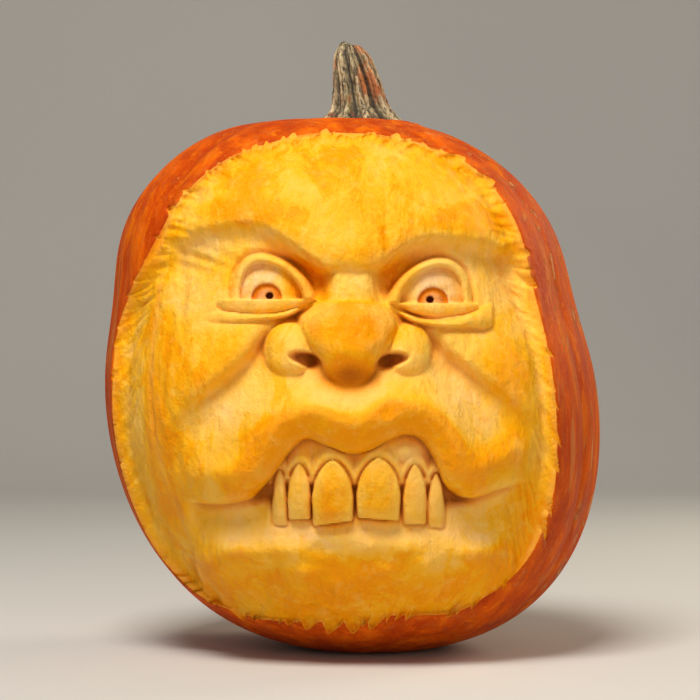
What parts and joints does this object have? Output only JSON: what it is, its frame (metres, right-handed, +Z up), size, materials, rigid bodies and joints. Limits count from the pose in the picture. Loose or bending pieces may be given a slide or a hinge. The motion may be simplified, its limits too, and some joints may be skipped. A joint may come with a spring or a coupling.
{
  "type": "carved pumpkin",
  "caption": "Whole pumpkin carved in relief with a snarling ogre face: glaring eyes, bulbous nose, curled lip and bared teeth, ragged rind edge, ribbed back and woody stem.",
  "frame": {"origin": "centre of the bounding box at the flat foot, on the surface that the pumpkin stands on", "axes": "+Z up, the carved face looks towards -Y, and the viewer's right is +X"},
  "size_m": [0.2793, 0.2759, 0.342],
  "materials": {
    "carved_flesh_and_rind": "moist carved flesh, amber near the skin and pale yellow deeper, inside a ragged edge of smooth waxy orange rind",
    "woody_stem": "dry ridged stalk, grey brown with pale and orange streaks"
  },
  "bodies": {
    "root": {"pumpkin": "carved_flesh_and_rind", "stem": "woody_stem"}
  },
  "joints": []
}
